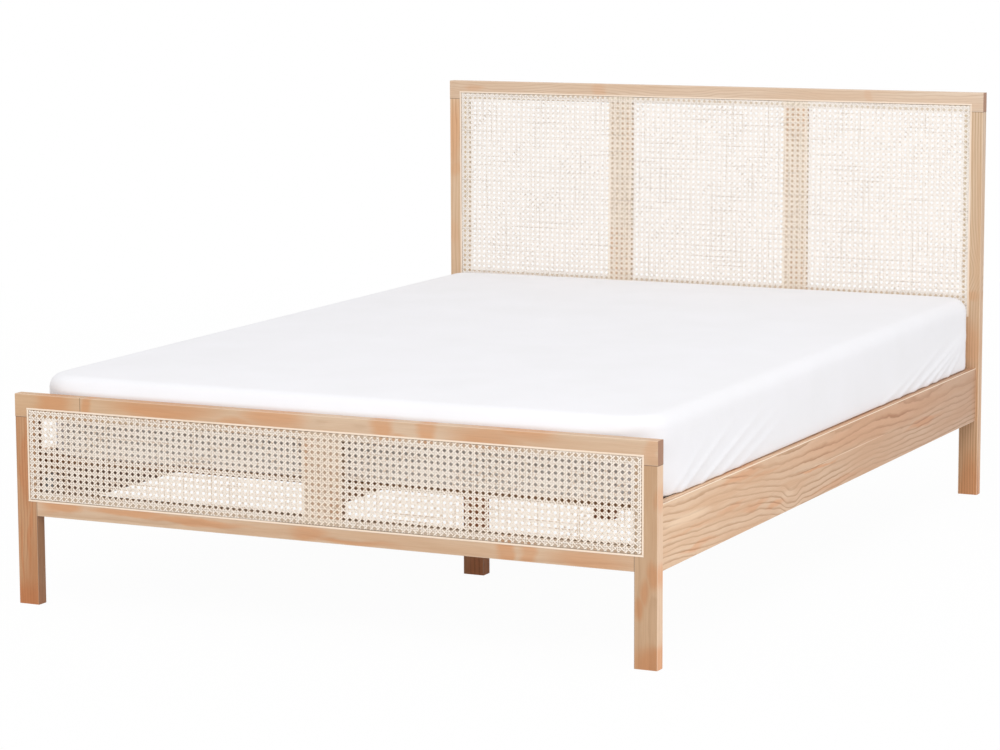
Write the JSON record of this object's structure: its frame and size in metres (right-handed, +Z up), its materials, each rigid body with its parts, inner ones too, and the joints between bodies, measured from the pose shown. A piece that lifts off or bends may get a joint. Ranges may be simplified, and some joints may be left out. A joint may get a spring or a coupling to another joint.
{
  "type": "double bed",
  "caption": "Wooden double bed with woven cane head and foot panels, slatted base on a centre beam, and a mattress in a fitted sheet.",
  "frame": {"origin": "middle of the bed's outline, on the floor", "axes": "+Z up, +Y from the foot board to the head board, +X to the right as seen from the foot"},
  "size_m": [1.4644, 2.0646, 1.0016],
  "materials": {
    "frame_wood": "light natural wood under a thin matt lacquer",
    "slat_wood": "plain sawn softwood, unfinished",
    "cane": "natural cane strands, slightly glossy",
    "spline_reed": "split reed, satin",
    "steel": "zinc-plated",
    "strap_webbing": "woven polyester tape",
    "mattress_fabric": "knitted cover",
    "sheet_cotton": "plain white cotton"
  },
  "bodies": {
    "bed_frame": {"footboard_leg_left": "frame_wood", "footboard_leg_right": "frame_wood", "footboard_top_rail": "frame_wood", "footboard_bottom_rail": "frame_wood", "footboard_centre_stile": "frame_wood", "footboard_cane": "cane", "footboard_spline_top": "spline_reed", "footboard_spline_bottom": "spline_reed", "footboard_spline_left": "spline_reed", "footboard_spline_right": "spline_reed", "headboard_leg_left": "frame_wood", "headboard_leg_right": "frame_wood", "headboard_top_rail": "frame_wood", "headboard_panel_rail": "frame_wood", "headboard_lower_rail": "frame_wood", "headboard_stile_left": "frame_wood", "headboard_stile_right": "frame_wood", "headboard_cane": "cane", "headboard_spline_top": "spline_reed", "headboard_spline_bottom": "spline_reed", "headboard_spline_left": "spline_reed", "headboard_spline_right": "spline_reed", "side_rail_left": "frame_wood", "side_rail_right": "frame_wood", "slat_ledge_left": "slat_wood", "slat_ledge_right": "slat_wood", "corner_angle_foot_left": "steel", "corner_angle_foot_right": "steel", "corner_angle_head_left": "steel", "corner_angle_head_right": "steel", "centre_beam": "slat_wood", "front_centre_leg": "slat_wood", "rear_centre_leg": "slat_wood", "beam_hanger_foot": "steel", "beam_hanger_head": "steel", "slat_01": "slat_wood", "slat_02": "slat_wood", "slat_03": "slat_wood", "slat_04": "slat_wood", "slat_05": "slat_wood", "slat_06": "slat_wood", "slat_07": "slat_wood", "slat_08": "slat_wood", "slat_09": "slat_wood", "slat_10": "slat_wood", "slat_11": "slat_wood", "slat_12": "slat_wood", "slat_13": "slat_wood", "slat_14": "slat_wood", "slat_strap_left": "strap_webbing", "slat_strap_right": "strap_webbing", "corner_angle_bolts": "steel", "centre_leg_bolts": "steel", "beam_hanger_bolts": "steel"},
    "mattress": {"mattress": "mattress_fabric", "fitted_sheet": "sheet_cotton"}
  },
  "joints": [
    {"name": "mattress_lift", "type": "slide", "parent": "bed_frame", "child": "mattress", "axis": [0, 0, 1], "range_m": [0, 0.72]}
  ]
}
